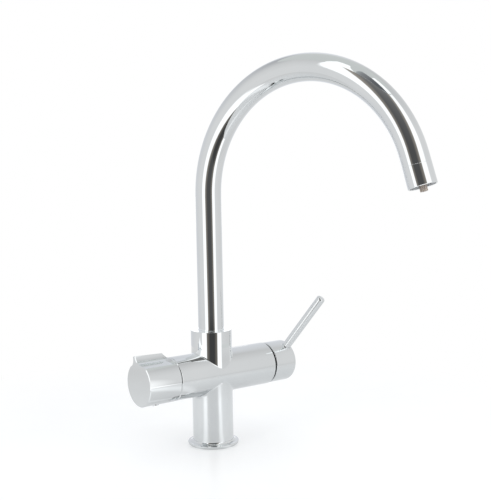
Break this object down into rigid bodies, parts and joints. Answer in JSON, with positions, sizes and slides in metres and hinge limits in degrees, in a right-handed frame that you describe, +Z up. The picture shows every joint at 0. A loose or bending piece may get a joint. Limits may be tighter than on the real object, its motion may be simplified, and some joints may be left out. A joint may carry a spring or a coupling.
{
  "type": "three way filtered water tap",
  "caption": "Chrome swan neck kitchen tap with a cross barrel, a side lever mixer and a finned knob for filtered water, which leaves through its own nozzle in the spout.",
  "frame": {"origin": "middle of the base, on the worktop that the tap stands on", "axes": "+Z up, +X along the barrel towards the mixer lever, -Y towards the user"},
  "size_m": [0.1931, 0.2589, 0.3715],
  "materials": {
    "chrome": "polished",
    "brass": "satin",
    "steel": "satin",
    "rubber": "matte",
    "ceramic": "satin",
    "acetal": "matte",
    "food_grade_plastic": "satin"
  },
  "bodies": {
    "fixed_body": {"body_casting": "chrome", "base_ring": "chrome", "base_gasket": "rubber", "spout_trim_ring": "chrome", "spout_bush": "acetal", "spout_lock_screw": "steel", "filter_valve_bonnet": "brass", "filter_bonnet_o_ring": "rubber", "filter_seat_seal": "rubber", "filter_fixed_disc": "ceramic", "cartridge_base": "acetal", "cartridge_port_seals": "rubber", "mixer_fixed_disc": "ceramic", "cartridge_housing": "acetal", "cartridge_nut": "brass", "dome_ring": "chrome"},
    "spout": {"spout_spigot": "brass", "spout_o_rings": "rubber", "spout_tube": "chrome", "outlet_ferrule": "chrome", "aerator_washer": "rubber", "aerator_body": "acetal", "filtered_nozzle": "food_grade_plastic", "inner_filter_tube": "food_grade_plastic", "inner_tube_fitting": "brass", "inner_tube_o_ring": "rubber"},
    "filter_control": {"filter_knob": "chrome", "knob_grub_screw": "steel", "knob_screw_plug": "chrome", "filter_spindle": "brass", "filter_moving_disc": "ceramic", "filter_spindle_o_ring": "rubber", "filter_spindle_circlip": "steel"},
    "rotor": {"mixer_rotor": "acetal", "lever_pivot_pin": "steel"},
    "lever": {"lever_stem": "brass", "lever_cap": "chrome", "lever_rod": "chrome", "lever_grub_screw": "steel", "lever_screw_plug": "chrome"},
    "shutter": {"mixer_disc_carrier": "acetal", "mixer_moving_disc": "ceramic"}
  },
  "joints": [
    {"name": "spout_swivel", "type": "hinge", "parent": "fixed_body", "child": "spout", "pos_m": [0, 0, 0.1], "axis": [0, 0, 1], "continuous": true},
    {"name": "filter_turn", "type": "hinge", "parent": "fixed_body", "child": "filter_control", "pos_m": [-0.06, 0, 0.0715], "axis": [1, 0, 0], "range_deg": [0, 90]},
    {"name": "mixer_temperature", "type": "hinge", "parent": "fixed_body", "child": "rotor", "pos_m": [0.045, 0, 0.0715], "axis": [1, 0, 0], "range_deg": [-50, 50]},
    {"name": "mixer_flow", "type": "hinge", "parent": "rotor", "child": "lever", "pos_m": [0.045, 0, 0.0715], "axis": [0, 0.8387, 0.5446], "range_deg": [0, 25]},
    {"name": "shutter_slide", "type": "slide", "parent": "rotor", "child": "shutter", "axis": [0, -0.5446, 0.8387], "range_m": [0, 0.00368]}
  ],
  "couplings": [
    {"joint": "shutter_slide", "follows": "mixer_flow", "m_per_rad": 0.00833}
  ]
}
